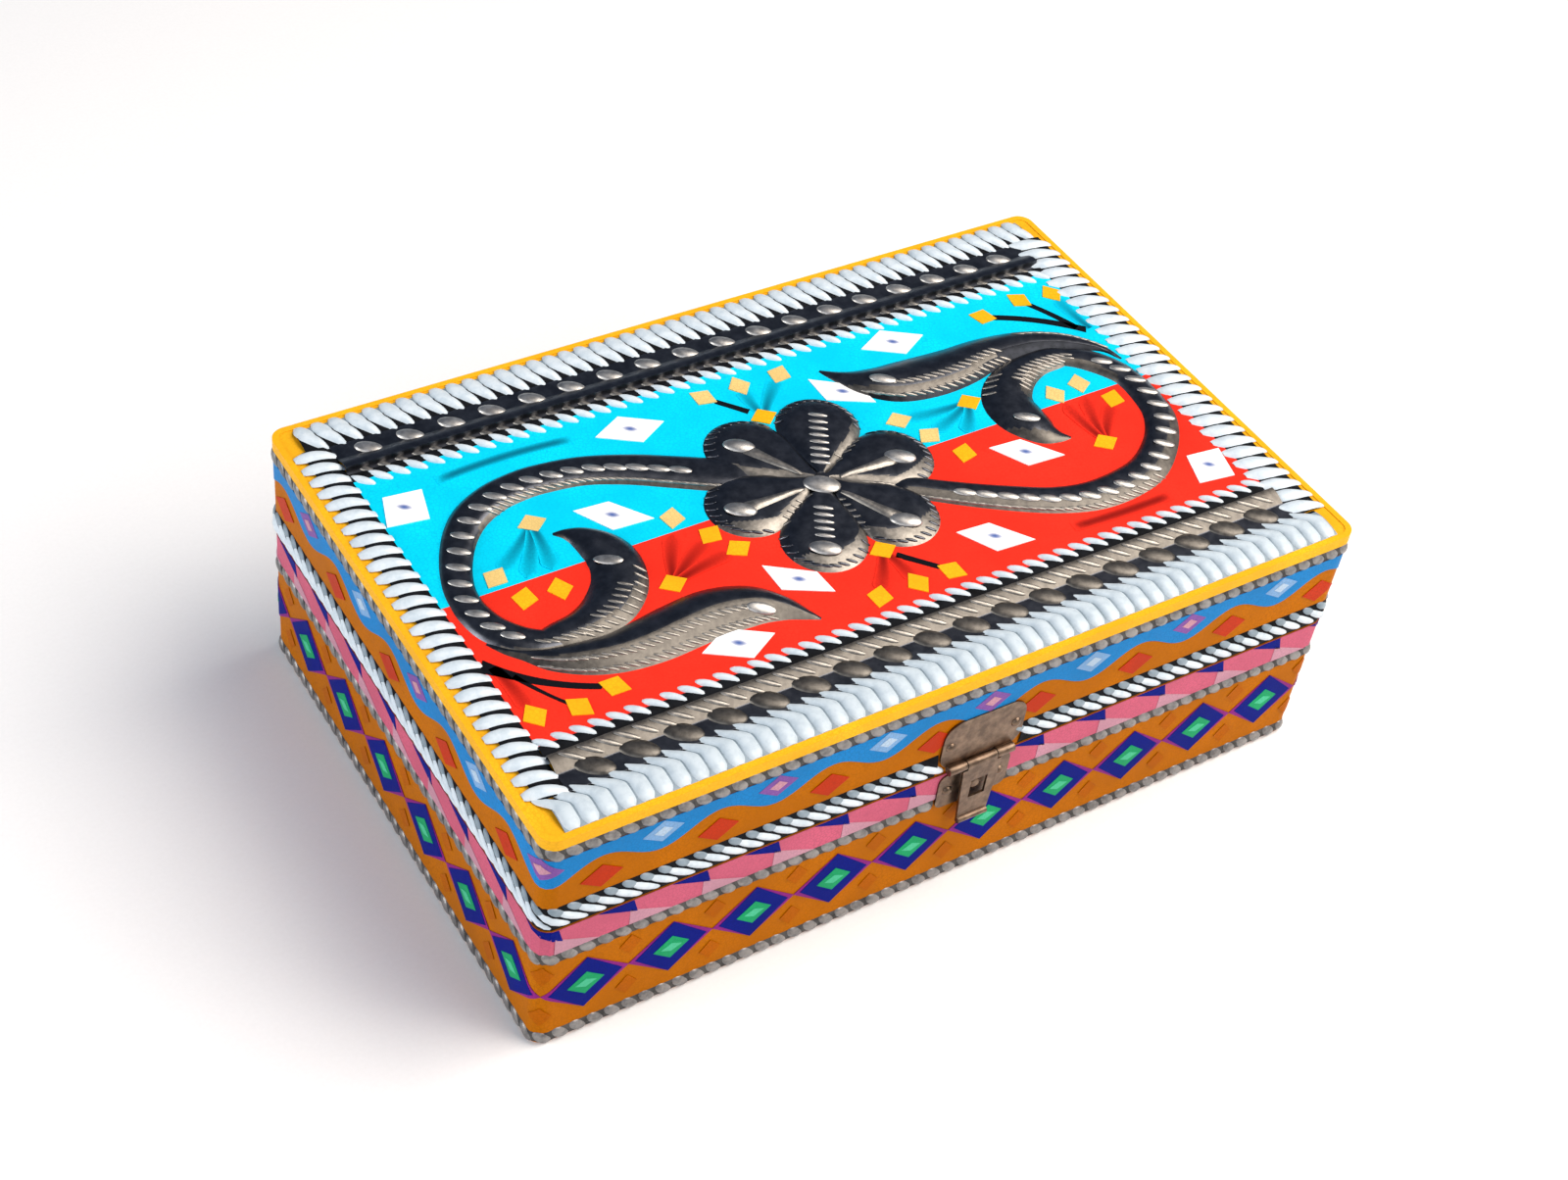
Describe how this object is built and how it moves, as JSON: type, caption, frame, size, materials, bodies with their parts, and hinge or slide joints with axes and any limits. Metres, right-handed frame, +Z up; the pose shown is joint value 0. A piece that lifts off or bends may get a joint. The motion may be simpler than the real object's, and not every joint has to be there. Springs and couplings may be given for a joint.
{
  "type": "decorative keepsake box",
  "caption": "Wooden keepsake box with a hinged lid and front hasp, clad in tin and coloured tape, with ribbed borders and a pressed flower and scrolls on the lid.",
  "frame": {"origin": "middle of the flat underside, on the surface that the box stands on", "axes": "+X along the box's length to the right as seen from the front, +Y to the hinged back, +Z up; the hasp faces -Y"},
  "size_m": [0.2424, 0.1601, 0.0798],
  "materials": {
    "carcass_wood": "sawn and sanded softwood board",
    "flocked_card": "velvet flock on card",
    "orange_tin": "tin under orange self-adhesive film",
    "orange_tape": "bright glossy tape",
    "ribbed_trim": "pressed bright ribs, satin",
    "dark_steel": "pressed sheet, blackened with rubbed high points",
    "cyan_film": "glossy film",
    "red_film": "glossy film",
    "white_tape": "glossy tape",
    "yellow_tape": "glossy tape",
    "dark_tape": "glossy tape",
    "bronze": "antique bronze plate, worn"
  },
  "bodies": {
    "base": {"base_back_lining": "flocked_card", "base_back_wall": "carcass_wood", "base_bottom_cord": "ribbed_trim", "base_floor": "carcass_wood", "base_floor_lining": "flocked_card", "base_front_lining": "flocked_card", "base_front_wall": "carcass_wood", "base_hinge_nails": "bronze", "base_left_lining": "flocked_card", "base_left_wall": "carcass_wood", "base_middle_cord": "ribbed_trim", "base_right_lining": "flocked_card", "base_right_wall": "carcass_wood", "base_skin": "orange_tin", "catch_nails": "bronze", "catch_plate": "bronze", "catch_stud": "bronze", "left_hinge_base_leaf": "bronze", "left_hinge_pin": "bronze", "right_hinge_base_leaf": "bronze", "right_hinge_pin": "bronze"},
    "lid": {"back_bead_band": "dark_steel", "back_border": "ribbed_trim", "back_inner_rope": "ribbed_trim", "cyan_field": "cyan_film", "edge_binding": "orange_tape", "flower": "dark_steel", "front_bead_band": "dark_steel", "front_border": "ribbed_trim", "front_inner_rope": "ribbed_trim", "hasp_nails": "bronze", "hasp_pin": "bronze", "hasp_plate": "bronze", "left_border": "ribbed_trim", "left_hinge_lid_leaf": "bronze", "left_scroll": "dark_steel", "lid_back_lining": "flocked_card", "lid_back_rim": "carcass_wood", "lid_board": "carcass_wood", "lid_front_lining": "flocked_card", "lid_front_rim": "carcass_wood", "lid_hinge_nails": "bronze", "lid_left_lining": "flocked_card", "lid_left_rim": "carcass_wood", "lid_right_lining": "flocked_card", "lid_right_rim": "carcass_wood", "lid_rope": "ribbed_trim", "lid_skin": "orange_tin", "lid_top_lining": "flocked_card", "lid_upper_cord": "ribbed_trim", "lozenges": "white_tape", "red_field": "red_film", "right_border": "ribbed_trim", "right_hinge_lid_leaf": "bronze", "right_scroll": "dark_steel", "stems": "dark_tape", "tabs": "yellow_tape", "top_sheet": "orange_tin"},
    "hasp": {"hasp_flap": "bronze"}
  },
  "joints": [
    {"name": "lid_hinge", "type": "hinge", "parent": "base", "child": "lid", "pos_m": [0, 0.0783, 0.044], "axis": [-1, 0, 0], "range_deg": [0, 110]},
    {"name": "hasp_swing", "type": "hinge", "parent": "lid", "child": "hasp", "pos_m": [0.003, -0.0776, 0.046], "axis": [-1, 0, 0], "range_deg": [-4, 150]}
  ]
}
